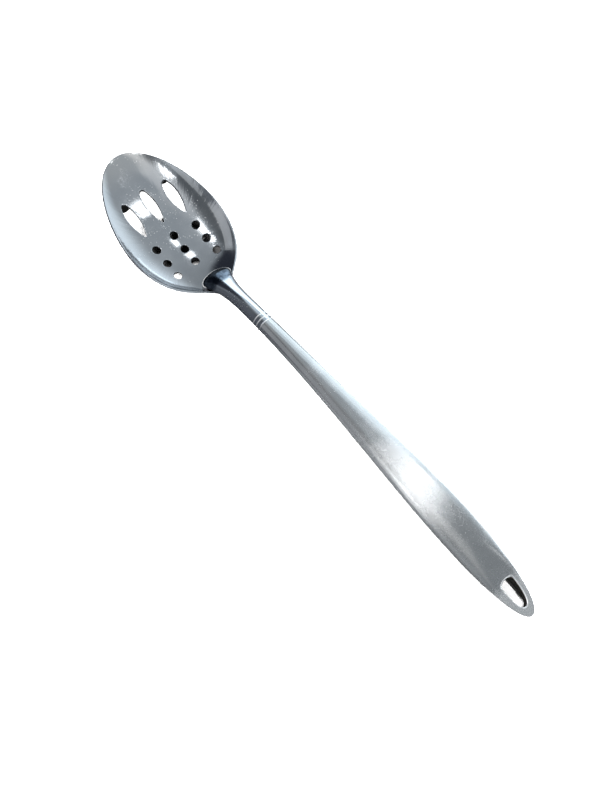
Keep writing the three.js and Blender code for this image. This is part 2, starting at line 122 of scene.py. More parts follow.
def bowl_face(station, y):
    """Height of the bowl's inner face."""
    half = bowl_half_width(station)
    across = min(abs(y) / half, 1) if half > 0 else 1
    deep = BOWL_DEPTH * (half / BOWL_HALF_WIDTH) ** DEPTH_POWER
    rise = (1 - WALL_SHARE) * across**2 + WALL_SHARE * across**WALL_POWER
    return value_at(RIM_SIDE_LINE, station) - deep * (1 - rise)


def flat_grid(rows, sides):
    """A flat grid that will be bent into a piece, with the row and the side of each point."""
    shape = bmesh.new()
    bmesh.ops.create_grid(shape, x_segments=rows, y_segments=sides, size=1)
    places = []
    for vert in shape.verts:
        row = round((vert.co.x + 1) / 2 * rows)
        side = round((vert.co.y + 1) / 2 * sides)
        places.append((vert, row, side))
    return shape, places


def close_up(shape):
    """Joins the points that fall together, caps the ends and turns the faces outwards."""
    bmesh.ops.remove_doubles(shape, verts=shape.verts, dist=0.001 * MM)
    bmesh.ops.holes_fill(shape, edges=[e for e in shape.edges if e.is_boundary], sides=0)
    bmesh.ops.recalc_face_normals(shape, faces=shape.faces)


def object_from(shape, name):
    mesh = bpy.data.meshes.new(name)
    shape.to_mesh(mesh)
    shape.free()
    made = bpy.data.objects.new(name, mesh)
    bpy.context.scene.collection.objects.link(made)
    return made


def piece_from(shape, name, node, material, sharp=None):
    """A finished piece of the scene that stands for one solid of the part. Its edges stay sharp
    from a given angle in degrees."""
    piece = object_from(shape, name)
    piece.data.polygons.foreach_set("use_smooth", [True] * len(piece.data.polygons))
    if sharp:
        piece.data.set_sharp_from_angle(angle=math.radians(sharp))
    piece.data.materials.append(material)
    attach(piece, "root")
    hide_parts(node)
    return piece


def cut_out(piece, tool):
    """Cuts a closed tool out of a piece, applies all its modifiers and keeps its edges sharp."""
    cut = piece.modifiers.new("cut", "BOOLEAN")
    cut.operation = "DIFFERENCE"
    cut.solver = "EXACT"
    cut.object = tool
    evaluated = piece.evaluated_get(bpy.context.evaluated_depsgraph_get())
    finished = bpy.data.meshes.new_from_object(evaluated)
    piece.modifiers.clear()
    piece.data = finished
    piece.data.set_sharp_from_angle(angle=math.radians(40))


def feed(tree, socket, value):
    """Gives an input its value, or links it to another node's output."""
    if isinstance(value, bpy.types.NodeSocket):
        tree.links.new(value, socket)
    else:
        socket.default_value = value


def add_node(tree, kind, settings=(), **inputs):
    """A node with its settings and inputs. An input is a value or another node's output."""
    node = tree.nodes.new("ShaderNode" + kind)
    for name, value in dict(settings).items():
        setattr(node, name, value)
    for name, value in inputs.items():
        feed(tree, node.inputs[name.replace("_", " ")], value)
    return node


def combine(tree, operation, a, b=0):
    node = add_node(tree, "Math", {"operation": operation})
    feed(tree, node.inputs[0], a)
    feed(tree, node.inputs[1], b)
    return node.outputs[0]


def multiply(tree, a, b):
    return combine(tree, "MULTIPLY", a, b)


def add_share(tree, base, value, share):
    """The base, with a share of another value added to it."""
    return combine(tree, "ADD", base, multiply(tree, value, share))


def gap_to(tree, value, number):
    """How far a value is from a number, on either side of it."""
    return combine(tree, "ABSOLUTE", combine(tree, "SUBTRACT", value, number))


def distance_to(tree, place, point):
    node = add_node(tree, "VectorMath", {"operation": "DISTANCE"}, Vector=place)
    node.inputs[1].default_value = point
    return node.outputs["Value"]


def noise(tree, place, scale, detail):
    return add_node(tree, "TexNoise", Vector=place, Scale=scale, Detail=detail).outputs["Fac"]


def fade(tree, value, low, high, to_low=0.0, to_high=1.0):
    """Carries a value from one range to another with a soft start and end."""
    node = add_node(tree, "MapRange", {"interpolation_type": "SMOOTHSTEP"}, Value=value,
                    From_Min=low, From_Max=high, To_Min=to_low, To_Max=to_high)
    return node.outputs["Result"]


def blend_colors(tree, share, below, above):
    node = add_node(tree, "Mix", {"data_type": "RGBA"}, Factor=share, A=below, B=above)
    return node.outputs["Result"]


def new_group(name, inputs, outputs):
    """An empty node group and its sockets, which are numbers, apart from the place."""
    group = bpy.data.node_groups.new(name, "ShaderNodeTree")
    for socket in inputs:
        kind = "NodeSocketVector" if socket == "Place" else "NodeSocketFloat"
        group.interface.new_socket(socket, in_out="INPUT", socket_type=kind)
    for socket in outputs:
        group.interface.new_socket(socket, in_out="OUTPUT", socket_type="NodeSocketFloat")
    given, result = group.nodes.new("NodeGroupInput"), group.nodes.new("NodeGroupOutput")
    return group, given.outputs, result.inputs


def use_group(tree, group, **inputs):
    return add_node(tree, "Group", {"node_tree": group}, **inputs).outputs


def make_hairlines():
    """Fine scratches in one direction. Lengths are in millimetres, and the mask is 1 in a line."""
    names = ("Place", "Turn", "Run", "Width", "Share")
    group, given, result = new_group("hairlines", names, ("Mask", "Height"))
    turned = add_node(group, "VectorRotate", {"rotation_type": "Z_AXIS"},
                      Vector=given["Place"], Angle=given["Turn"])
    thin = combine(group, "DIVIDE", 1, given["Width"])
    scale = add_node(group, "CombineXYZ", X=combine(group, "DIVIDE", 1, given["Run"]), Y=thin, Z=thin)
    stretched = add_node(group, "VectorMath", {"operation": "MULTIPLY"})
    feed(group, stretched.inputs[0], turned.outputs[0])
    feed(group, stretched.inputs[1], scale.outputs[0])
    grain = noise(group, stretched.outputs[0], 1.0, 2.0)
    line = combine(group, "GREATER_THAN", grain, add_share(group, 0.8, given["Share"], -0.45))
    patches = fade(group, noise(group, given["Place"], 0.09, 3.0), 0.42, 0.62, 0.25, 1.0)
    feed(group, result["Mask"], multiply(group, line, patches))
    feed(group, result["Height"], grain)
    return group


def make_specks():
    """Small pits and water spots, gathered in patches. Spacing is in millimetres."""
    group, given, result = new_group("specks", ("Place", "Spacing", "Share", "Gather"), ("Mask",))
    scale = combine(group, "DIVIDE", 1, given["Spacing"])
    cells = add_node(group, "TexVoronoi", Vector=given["Place"], Scale=scale).outputs
    chance = add_node(group, "SeparateColor", Color=cells["Color"]).outputs[0]
    chosen = combine(group, "LESS_THAN", chance, given["Share"])
    dot = fade(group, cells["Distance"], 0.1, 0.26, 1.0, 0.0)
    gathered = combine(group, "ADD", noise(group, given["Place"], 0.075, 4.0), given["Gather"])
    patches = fade(group, gathered, 0.44, 0.6)
    feed(group, result["Mask"], multiply(group, multiply(group, dot, chosen), patches))
    return group


def new_steel(name):
    """A metal material, its shader, and each point's place on the spoon in millimetres."""
    material = bpy.data.materials.new(name)
    material.use_nodes = True
    tree = material.node_tree
    shader = tree.nodes["Principled BSDF"]
    shader.inputs["Metallic"].default_value = 1
    place = add_node(tree, "VectorMath", {"operation": "SCALE"}, Scale=1000.0)
    feed(tree, place.inputs[0], add_node(tree, "TexCoord").outputs["Object"])
    return material, tree, shader, place.outputs[0]


def dress(tree, shader, color, rough):
    feed(tree, shader.inputs["Base Color"], color)
    feed(tree, shader.inputs["Roughness"], rough)


def bump_from(tree, shader, height, distance):
    feed(tree, shader.inputs["Normal"], add_node(tree, "Bump", Height=height, Distance=distance).outputs[0])


hairlines, specks = make_hairlines(), make_specks()
# Near-white colour of the specks: partly the spots' own, and partly painted glint where they catch the light.
SPECK_AND_GLINT_COLOR = (0.97, 0.97, 0.96, 1)


def mirror_steel(name, dark, light, smooth, dull, waviness):
    """Polished sheet: slow waves from the press, cloudy polish, wiping scratches and specks."""
    material, tree, shader, place = new_steel(name)
    axes = add_node(tree, "SeparateXYZ", Vector=place).outputs
    along, aside = axes["X"], axes["Y"]
    marks = 0
    for turn, run, share in ((0.5, 14.0, 0.34), (1.9, 9.0, 0.32), (2.7, 6.0, 0.3)):
        lines = use_group(tree, hairlines, Place=place, Turn=turn, Run=run, Width=0.16, Share=share)
        marks = combine(tree, "MAXIMUM", marks, lines["Mask"])
    gather = fade(tree, distance_to(tree, place, SPECK_GATHER_PLACE), 8, 24, 0.16, -0.05)
    spots = use_group(tree, specks, Place=place, Spacing=1.25, Share=0.45, Gather=gather)["Mask"]

    # Painted light and shade: the steel is painted darker near the tang as shade, paler and bluer on the left
    # wall there as a reflection, and paler at the tip as sheen.
    cloud = noise(tree, place, 0.06, 5.0)
    tang_painted_shade = multiply(tree, fade(tree, along, 84, 112, 0.5, 0.0), fade(tree, aside, 8, 16, 1.0, 0.0))
    wall_painted_reflection = multiply(tree, fade(tree, along, 96, 114, 0.85, 0.0), fade(tree, aside, 12, 19))
    tip_painted_sheen = fade(tree, along, 150, 166, 0.0, 0.8)
    color = blend_colors(tree, fade(tree, cloud, 0.35, 0.68), dark, light)
    color = blend_colors(tree, tang_painted_shade, color, (0.3, 0.32, 0.34, 1))
    color = blend_colors(tree, wall_painted_reflection, color, (0.82, 0.86, 0.91, 1))
    color = blend_colors(tree, tip_painted_sheen, color, (0.74, 0.745, 0.74, 1))
    rough = add_share(tree, fade(tree, cloud, 0.3, 0.7, smooth, dull), marks, 0.14)
    rough = add_share(tree, rough, spots, 0.35)
    dress(tree, shader, blend_colors(tree, spots, color, SPECK_AND_GLINT_COLOR), rough)

    # The relief: slow waves, streaks that spread from the middle of the press, and two dents.
    waves = noise(tree, place, 0.045, 1.5)
    ray = combine(tree, "ARCTAN2", aside, combine(tree, "SUBTRACT", along, PRESS_MIDDLE))
    streaks = add_node(tree, "TexNoise", {"noise_dimensions": "1D"}, W=ray, Scale=9.0, Detail=3.0)
    away = add_share(tree, gap_to(tree, along, PRESS_MIDDLE), gap_to(tree, aside, 0), 1.6)
    waves = add_share(tree, waves, streaks.outputs["Fac"], fade(tree, away, 30, 48, 0.0, 0.35))
    for spot in DENT_PLACES:
        dent = fade(tree, distance_to(tree, place, spot), 0, DENT_REACH, DENT_RISE, 0.0)
        waves = combine(tree, "ADD", waves, dent)
    height = add_share(tree, add_share(tree, waves, marks, -0.01), spots, 0.08)
    bump_from(tree, shader, height, waviness)
    return material


def pressed_dish():
    """A flat grid laid over the bowl's outline, square at the tang and rounded at the tip."""
    shape = bmesh.new()
    bmesh.ops.create_grid(shape, x_segments=BOWL_ROWS, y_segments=BOWL_COLUMNS, size=1)
    front = BOWL_TIP - BOWL_WIDEST
    rear = BOWL_WIDEST - TANG_END
    for vert in shape.verts:
        along, across = vert.co.x, vert.co.y
        if along > 0:
            reach = along * math.sqrt(1 - across**2 / 2)
            wide = max(math.sqrt(1 - reach**2), 1e-9)
            across = across * math.sqrt(1 - along**2 / 2) / wide
            station = BOWL_WIDEST + front * reach
        else:
            station = BOWL_WIDEST + rear * along
        y = across * bowl_half_width(station)
        vert.co = at(station, y, bowl_face(station, y))
    return shape


def slot_outline(station, y):
    """Leaf shape: blunt towards the tip of the bowl, narrow towards the handle."""
    front = station + SLOT_LENGTH / 2
    back = station - SLOT_LENGTH / 2
    bulge = SLOT_WIDTH * 2 / 3
    blunt, tail = SLOT_BLUNT_END / 2, SLOT_TAIL_END / 2
    side = (
        (front, blunt),
        (station + SLOT_LENGTH / 4, bulge),
        (station - SLOT_LENGTH / 8, bulge),
        (back, tail),
    )
    half = [on_line(side, i / SLOT_STEPS) for i in range(SLOT_STEPS + 1)]
    nose = [Vector((front + blunt / 4, blunt / 2)), Vector((front + blunt / 2.6, 0))]
    heel = [Vector((back - tail / 2, 0))]
    mirrored = [Vector((p.x, -p.y)) for p in reversed(half)]
    points = half + heel + mirrored + [Vector((nose[0].x, -nose[0].y)), nose[1], nose[0]]
    return [Vector((p.x, p.y + y)) for p in points]


def round_outline(station, y):
    turns = [2 * math.pi * i / HOLE_SIDES for i in range(HOLE_SIDES)]
    radius = HOLE_DIAMETER / 2
    return [Vector((station + radius * math.cos(a), y + radius * math.sin(a))) for a in turns]


def middle_of(outline):
    return sum(outline, Vector((0, 0))) / len(outline)


def punch(outline):
    """A tool as wide as an opening, which spreads to a rounded lip at the bowl's inner face."""
    count = len(outline)
    middle = middle_of(outline)
    shape, places = flat_grid(count, len(PUNCH_PROFILE) - 1)
    for vert, row, step in places:
        corner = outline[row % count]
        edge = outline[(row + 1) % count] - outline[row % count - 1]
        away = Vector((edge.y, -edge.x)).normalized()
        if away.dot(corner - middle) < 0:
            away = -away
        grow, height = PUNCH_PROFILE[step]
        point = corner + away * grow
        vert.co = at(point.x, point.y, bowl_face(point.x, point.y) + height)
    close_up(shape)
    return shape


bowl_steel = mirror_steel("bowl_mirror_steel", (0.56, 0.59, 0.62, 1), (0.64, 0.665, 0.69, 1),
                          0.06, 0.13, 0.00025)
bowl = piece_from(pressed_dish(), "bowl_dish", "bowl", bowl_steel)
sheet = bowl.modifiers.new("sheet", "SOLIDIFY")
sheet.thickness = BOWL_SHEET * MM
sheet.offset = -1
rolled = bowl.modifiers.new("rolled_rim", "BEVEL")
rolled.width = RIM_ROUND * MM
rolled.segments = 3
rolled.limit_method = "ANGLE"
rolled.angle_limit = math.radians(50)

openings = []
for column in (-1, 0, 1):
    lead = MIDDLE_COLUMN_LEAD if column == 0 else 0
    side = column * COLUMN_SPACING
    openings.append(slot_outline(SIDE_SLOT_STATION + lead, side))
    for row in range(3):
        openings.append(round_outline(FIRST_HOLE_STATION - row * HOLE_PITCH + lead, side))

tools = bmesh.new()
for outline in openings:
    tool_mesh = bpy.data.meshes.new("punch")
    punch(outline).to_mesh(tool_mesh)
    tools.from_mesh(tool_mesh)
    bpy.data.meshes.remove(tool_mesh)
punches = object_from(tools, "punches")
cut_out(bowl, punches)
bpy.data.objects.remove(punches)


def sheared_steel():
    """The raw wall of a punched hole: dark, torn and streaked along the punch's stroke."""
    material, tree, shader, place = new_steel("punched_wall_steel")
    torn = noise(tree, place, 1.6, 6.0)
    color = blend_colors(tree, fade(tree, torn, 0.4, 0.7), (0.05, 0.052, 0.055, 1), (0.2, 0.2, 0.21, 1))
    dress(tree, shader, color, fade(tree, torn, 0.3, 0.7, 0.35, 0.6))
    bump_from(tree, shader, torn, 0.00004)
    return material


# The walls of the openings are the faces near an opening's outline that stand almost upright.
bowl.data.materials.append(sheared_steel())
opening_middles = [middle_of(outline) for outline in openings]
for face in bowl.data.polygons:
    spot = Vector((face.center.x / MM - HANDLE_END_X, face.center.y / MM))
    nearest = min((spot - middle).length for middle in opening_middles)
    rim_gap = bowl_half_width(spot.x) - abs(spot.y) if TANG_END < spot.x < BOWL_TIP else 0
    if nearest < SLOT_LENGTH * 0.6 and rim_gap > 3 and abs(face.normal.z) < 0.55:
        face.material_index = 1

# Neck. A solid round rod of polished steel. Its flattened nose sits on the bowl's floor, two fine
# rings are cut into it beside the handle, and a spigot at its rear holds it in the hollow handle.

NECK_NARROWEST = 218
NOSE_START = 246
NOSE_TIP = 252
NOSE_ROUNDING = NOSE_TIP - NOSE_START
NOSE_STEEPNESS = 1.6
NECK_HEIGHT = 9.7
NOSE_HEIGHT = 7.6
SPINE_BACK_LINE = ((0, 2.4), (34, 10.5), (100, 16), (150, 16))
SPINE_FRONT_LINE = ((150, 16), (192, 16), (225.8, 14.6), (252.8, 6.8))
NECK_SIDE_LINE = ((62, 11.1), (96, 11.1), (156, 4.95), (218, 4.95))
FLARE_SIDE_LINE = ((218, 4.95), (240, 4.95), (243, 9.4), (246, 9.4))
JOINT = 201.2
RING_PITCH = 2.6
RING_WIDTH = 0.6
RING_DEPTH = 0.25
# Places across a groove in millimetres, and the share of its depth there.
GROOVE_PROFILE = ((-0.42, 0), (-0.3, 0.03), (-0.12, 0.8), (0, 1), (0.12, 0.8), (0.3, 0.03), (0.42, 0))
SPIGOT_LENGTH = 18
SPIGOT_INSET = 1.3
SHANK_ROWS = 48
NOSE_ROWS = 18
ROUND_SIDES = 48
# The middle of the grip's patch where the specks, with their painted glint, gather most, in millimetres of
# the shared frame.
GRIP_SPECK_GATHER = (-114, 3)


def spine(station):
    return value_at(SPINE_BACK_LINE if station < SPINE_BACK_LINE[3][0] else SPINE_FRONT_LINE, station)


def smooth_step(value, low, high):
    t = min(max((value - low) / (high - low), 0), 1)
    return t * t * (3 - 2 * t)


def shank_half_width(station):
    line = NECK_SIDE_LINE if station < NECK_NARROWEST else FLARE_SIDE_LINE
    return value_at(line, min(station, NOSE_START))


@lru_cache(maxsize=None)
def shank_size(station):
    """Half width and half height of the rod at a station."""
    nose = min(max((station - NOSE_START) / NOSE_ROUNDING, 0), 1)
    share = smooth_step(station, NECK_NARROWEST, NOSE_START)
    tall = (NECK_HEIGHT + (NOSE_HEIGHT - NECK_HEIGHT) * share) / 2
    half = shank_half_width(station) * math.sqrt(1 - nose**2)
    return half, tall * (1 - nose**NOSE_STEEPNESS) ** (1 / NOSE_STEEPNESS)


def drawn_steel(name, dark, light, smooth, dull, grain_depth):
    """Steel polished along its length, with long fine grain and a few cross scratches. Returns the
    material, its tree and shader, the place along the spoon, the colour and the roughness."""
    material, tree, shader, place = new_steel(name)
    axes = add_node(tree, "SeparateXYZ", Vector=place).outputs
    along = axes["X"]
    grain = use_group(tree, hairlines, Place=place, Turn=0.0, Run=16.0, Width=0.14, Share=0.45)
    cross = use_group(tree, hairlines, Place=place, Turn=0.9, Run=5.0, Width=0.12, Share=0.3)["Mask"]
    aside = gap_to(tree, axes["Y"], GRIP_SPECK_GATHER[1])
    from_grip = add_share(tree, gap_to(tree, along, GRIP_SPECK_GATHER[0]), aside, 3)
    gather = fade(tree, from_grip, 12, 34, 0.26, -0.03)
    spots = use_group(tree, specks, Place=place, Spacing=1.15, Share=0.5, Gather=gather)["Mask"]
    cloud = noise(tree, place, 0.08, 5.0)
    color = blend_colors(tree, fade(tree, cloud, 0.35, 0.68), dark, light)
    color = blend_colors(tree, spots, color, SPECK_AND_GLINT_COLOR)
    marks = combine(tree, "MAXIMUM", multiply(tree, grain["Mask"], 0.6), cross)
    rough = add_share(tree, fade(tree, cloud, 0.3, 0.7, smooth, dull), marks, 0.12)
    rough = add_share(tree, rough, spots, 0.25)
    height = add_share(tree, add_share(tree, grain["Height"], spots, 1.5), cross, -0.8)
    bump_from(tree, shader, height, grain_depth)
    return material, tree, shader, place, along, color, rough


def neck_finish():
    """The neck's polish, with unpolished bright grooves, and a painted dark reflection in blue-black on its
    nose.
    """
    material, tree, shader, place, along, color, rough = drawn_steel(
        "neck_polished_steel", (0.44, 0.47, 0.51, 1), (0.5, 0.53, 0.565, 1), 0.1, 0.17, 0.000003)
    for ring in (1, 2):
        middle = JOINT + ring * RING_PITCH + HANDLE_END_X
        groove = fade(tree, gap_to(tree, along, middle), 0.3, 0.48, 1.0, 0.0)
        color = blend_colors(tree, groove, color, (0.95, 0.95, 0.94, 1))
        rough = combine(tree, "MAXIMUM", rough, multiply(tree, groove, 0.5))
    # Painted reflection: the nose is painted a mottled blue-black where its front mirrors the dark part of
    # the room.
    ragged = noise(tree, place, 0.35, 4.0)
    painted_reflection_mottle = fade(tree, ragged, 0.4, 0.62)
    nose_painted_reflection = blend_colors(tree, painted_reflection_mottle, (0.02, 0.032, 0.05, 1), (0.09, 0.115, 0.15, 1))
    nose = NOSE_START + HANDLE_END_X
    tint = fade(tree, add_share(tree, along, ragged, 5.0), nose - 5.5, nose - 2.5, 0.0, 0.95)
    dress(tree, shader, blend_colors(tree, tint, color, nose_painted_reflection), rough)
    return material


neck_steel = neck_finish()
# Sections from the rear: the spigot, the groove for the ring weld, the two rings, rod and nose.
shank_rows = []
root_half, root_tall = shank_size(JOINT)
for station in (JOINT - SPIGOT_LENGTH, JOINT - 4, JOINT + RING_WIDTH / 2):
    shank_rows.append((station, root_half - SPIGOT_INSET, root_tall - SPIGOT_INSET))
station = JOINT + RING_WIDTH / 2
shank_rows.append((station, *[size - RING_DEPTH for size in shank_size(station)]))
shank_rows.append((station + 0.12, *shank_size(station + 0.12)))
for ring in (1, 2):
    middle = JOINT + ring * RING_PITCH
    for step, depth in GROOVE_PROFILE:
        sizes = shank_size(middle + step)
        shank_rows.append((middle + step, *[size - depth * RING_DEPTH for size in sizes]))
start = JOINT + 3 * RING_PITCH
for i in range(SHANK_ROWS + 1):
    station = start + (NOSE_START - start) * i / SHANK_ROWS
    shank_rows.append((station, *shank_size(station)))
for i in range(1, NOSE_ROWS + 1):
    station = NOSE_START + NOSE_ROUNDING * math.sin(math.pi / 2 * i / NOSE_ROWS)
    shank_rows.append((station, *shank_size(station)))

shank, places = flat_grid(len(shank_rows) - 1, ROUND_SIDES)
for vert, row, side in places:
    station, half, tall = shank_rows[row]
    turn = 2 * math.pi * side / ROUND_SIDES
    y = half * math.cos(turn)
    height = spine(station) + tall * math.sin(turn)
    # The underside of the nose lies along the floor of the bowl.
    if station > TANG_END:
        height = max(height, bowl_face(station, y) + 0.05)
    vert.co = at(station, y, height)
close_up(shank)
piece_from(shank, "neck_rod", "neck_shank", neck_steel, sharp=50)

# Bowl weld. A bead of weld metal, run round the nose of the neck where it sits on the floor of
# the bowl. Its round top is dressed bright, and it dies out along both sides of the neck.

WELD_REACH = 0.95
WELD_TOP = 0.12
WELD_FEATHER_POWER = 8
WELD_END_TURN = 100
WELD_STEPS = 72
WELD_ARC_STEPS = 8
# After its quarter circle the bead's section has one point on the floor and two under the nose.
WELD_SIDES = WELD_ARC_STEPS + 4
UNDER_NOSE_FLOOR = -1.4
UNDER_NOSE_SIDE = -0.3


def nose_radius(turn):
    """Distance from the middle of the nose to its side, a little above its widest line."""
    low, high = 0.0, 14.0
    for _ in range(24):
        middle = (low + high) / 2
        station = NOSE_START + middle * math.cos(turn)
        half = shank_size(station)[0] if station < NOSE_TIP else 0
        inside = half > 0 and (middle * math.sin(turn) / half) ** 2 + WELD_TOP**2 < 1
        if inside:
            low = middle
        else:
            high = middle
    return low


def ground_steel():
    """Weld metal dressed with a fine wheel: mottled, with faint straw and blue heat tints."""
    material, tree, shader, place = new_steel("ground_weld_steel")
    mottle = noise(tree, place, 0.9, 5.0)
    tint = noise(tree, place, 0.25, 2.0)
    wheel = use_group(tree, hairlines, Place=place, Turn=1.2, Run=2.5, Width=0.1, Share=0.5)
    color = blend_colors(tree, fade(tree, mottle, 0.35, 0.7), (0.8, 0.81, 0.82, 1), (0.95, 0.95, 0.94, 1))
    color = blend_colors(tree, fade(tree, tint, 0.55, 0.75, 0.0, 0.5), color, (0.66, 0.6, 0.5, 1))
    color = blend_colors(tree, fade(tree, tint, 0.45, 0.28, 0.0, 0.4), color, (0.48, 0.54, 0.64, 1))
    rough = add_share(tree, fade(tree, mottle, 0.3, 0.7, 0.36, 0.5), wheel["Mask"], 0.12)
    dress(tree, shader, color, rough)
    bump_from(tree, shader, add_share(tree, mottle, wheel["Height"], 0.3), 0.00003)
    return material


weld_steel = ground_steel()
bead, places = flat_grid(WELD_STEPS, WELD_SIDES)
for vert, row, corner in places:
    corner %= WELD_SIDES
    side = row / WELD_STEPS * 2 - 1
    turn = math.radians(WELD_END_TURN) * side
    reach = WELD_REACH * max(1 - abs(side) ** WELD_FEATHER_POWER, 0.1)
    side_radius = nose_radius(turn)
    contact = min(NOSE_START + side_radius * math.cos(turn), NOSE_TIP - 0.05)
    top = spine(contact) + WELD_TOP * shank_size(contact)[1]
    sweep = math.pi / 2 * min(corner / WELD_ARC_STEPS, 1)
    beyond_arc = max(corner - WELD_ARC_STEPS - 1, 0)
    radius = side_radius + (reach * math.sin(sweep), UNDER_NOSE_FLOOR, UNDER_NOSE_SIDE)[beyond_arc]
    station = NOSE_START + radius * math.cos(turn)
    y = radius * math.sin(turn)
    height = floor_height = bowl_face(station, y) + 0.01
    if corner <= WELD_ARC_STEPS:
        height = max(top - reach * (1 - math.cos(sweep)), floor_height)
    elif corner == WELD_SIDES - 1:
        height = floor_height + 0.6 * (top - floor_height)
    vert.co = at(station, y, height)
close_up(bead)
piece_from(bead, "nose_weld", "bowl_weld", weld_steel)

# Ring weld. A thin ring of weld in the rearmost groove joins the handle shells to the neck.
# It is ground down to just below the skin, so it reads as a third fine ring.

RING_INSET = 0.1
RING_HALF_THICKNESS = 0.5
RING_HALF_WIDTH = 0.3
RING_CORNER_POWER = 0.4
RING_STEPS = 96
RING_SIDES = 16

ring, places = flat_grid(RING_STEPS, RING_SIDES)
ring_half, ring_tall = shank_size(JOINT)
for vert, row, side in places:
    around = 2 * math.pi * row / RING_STEPS
    turn = 2 * math.pi * side / RING_SIDES
    across, above = (math.copysign(abs(share) ** RING_CORNER_POWER, share)
                     for share in (math.cos(turn), math.sin(turn)))
    inset = RING_INSET + RING_HALF_THICKNESS - RING_HALF_THICKNESS * above
    station = JOINT + RING_HALF_WIDTH * across
    y = (ring_half - inset) * math.cos(around)
    vert.co = at(station, y, spine(station) + (ring_tall - inset) * math.sin(around))
close_up(ring)
piece_from(ring, "joint_ring_weld", "neck_ring_weld", weld_steel)

# Handle shells. Two pressed stainless shells, about 1 mm thick, meet along both sides of the
# handle. The upper one is pressed flat round the eye, and the lower one has a flat foot there.

HANDLE_WIDEST = 62
HANDLE_BACK_LINE = ((0, 0), (0, 7.3), (27, 11.1), (62, 11.1))
HANDLE_SQUARENESS = 2.1
UPPER_AT_END = 1.8
UPPER_AT_BACK = 5.4
UPPER_RUN = 75
LOWER_AT_BACK = 6.9
LOWER_RUN = 60
END_ROUNDING = 5
SHELL_WALL = 1
SHELL_END = JOINT - 0.35
SEAM_HALF = 0.4
FOOT_LENGTH = 24
FOOT_CUT = 1.6
LAND_HEIGHT = 6.2
LAND_STATION = 12.8
LAND_SLOPE = math.tan(math.radians(16))
LAND_EDGE_ROUND = 0.8
LAND_WALL = 0.9
EYE_FROM_END = 5.6
EYE_LENGTH = 15.6
EYE_HALF_WIDTH = 3.9
EYE_ARCH = 0.9
EYE_CORNER = 0.8
EYE_BACK_FULLNESS = 0.8
EYE_SIDE_STEPS = 26
EYE_CORNER_STEPS = 6
EYE_ARCH_STEPS = 8
SLEEVE_WALL = 0.8
NEAR_END = 60
NEAR_ROWS = 70
FAR_ROWS = 100
HALF_TURN_SIDES = 48


@lru_cache(maxsize=None)
def handle_sizes(station):
    """Half width, height above the seam and depth below it, and how square the section is."""
    line = HANDLE_BACK_LINE if station < HANDLE_WIDEST else NECK_SIDE_LINE
    half = value_at(line, station)
    t = min(station / UPPER_RUN, 1)
    up = UPPER_AT_END + (UPPER_AT_BACK - UPPER_AT_END) * (1 - (1 - t) ** 2)
    up += (NECK_HEIGHT / 2 - up) * smooth_step(station, UPPER_RUN, NECK_NARROWEST)
    level = spine(station) + TABLE_Z + FOOT_CUT
    down = level + (LOWER_AT_BACK - level) * smooth_step(station, FOOT_LENGTH, LOWER_RUN)
    down += (NECK_HEIGHT / 2 - down) * smooth_step(station, LOWER_RUN, NECK_NARROWEST)
    square = HANDLE_SQUARENESS + (2 - HANDLE_SQUARENESS) * smooth_step(station, HANDLE_WIDEST, NECK_NARROWEST)
    end_round = math.sqrt(1 - (1 - min(station / END_ROUNDING, 1)) ** 2)
    return half, up * end_round, down * end_round, square


def soft_least(a, b, width):
    """The smaller of two heights, with the corner between them rounded."""
    share = min(max(0.5 + 0.5 * (b - a) / width, 0), 1)
    return b * (1 - share) + a * share - width * share * (1 - share)


def land_height(station):
    return LAND_HEIGHT + LAND_SLOPE * (station - LAND_STATION)


def handle_skin(station, turn, inset=0):
    """A point of the handle's skin, or below it. Turns up to half a circle go over the top."""
    half, up, down, square = handle_sizes(station)
    half, up, down = (max(size - inset, 0) for size in (half, up, down))
    across, above = math.cos(turn), math.sin(turn)
    y = half * math.copysign(abs(across) ** (2 / square), across)
    rise = abs(above) ** (2 / square)
    if above >= 0:
        height = spine(station) + up * rise
        height = soft_least(height, land_height(station) - inset, LAND_EDGE_ROUND)
    else:
        height = spine(station) - down * rise
        height = -soft_least(-height, TABLE_Z - inset, LAND_EDGE_ROUND)
    return station, y, height


def handle_stations():
    """Stations from the closed end to the joint, closer together towards the closed end."""
    near = [NEAR_END * (1 - math.cos(math.pi / 2 * i / NEAR_ROWS)) for i in range(NEAR_ROWS)]
    far = [NEAR_END + (SHELL_END - NEAR_END) * i / FAR_ROWS for i in range(FAR_ROWS + 1)]
    return near + far


def bent_line(start, corner, end, t):
    """A point of the curve from start to end that leans towards a corner."""
    return Vector(start) * (1 - t) ** 2 + Vector(corner) * 2 * t * (1 - t) + Vector(end) * t * t


def eye_outline(grow):
    """Bullet shape of the eye, arched towards the bowl, wider and longer all round by grow."""
    half = EYE_HALF_WIDTH + grow
    back = EYE_FROM_END - grow
    front = EYE_FROM_END + EYE_LENGTH + grow - EYE_ARCH
    full = half * EYE_BACK_FULLNESS
    inner = half - EYE_CORNER
    corner = front - 2 * EYE_ARCH * EYE_CORNER / inner
    flank = corner - EYE_CORNER
    side = ((back, 0), (back, full), (back + (front - back) / 2, half), (flank, half))
    points = [on_line(side, i / EYE_SIDE_STEPS) for i in range(EYE_SIDE_STEPS + 1)]
    for i in range(1, EYE_CORNER_STEPS + 1):
        points.append(bent_line((flank, half), (corner, half), (front, inner), i / EYE_CORNER_STEPS))
    for i in range(1, EYE_ARCH_STEPS + 1):
        t = i / EYE_ARCH_STEPS / 2
        points.append(bent_line((front, inner), (front + 2 * EYE_ARCH, 0), (front, -inner), t))
    return points + [Vector((p.x, -p.y)) for p in reversed(points[1:-1])]


def seam_height(station):
    return min(spine(station), land_height(station) - LAND_WALL)


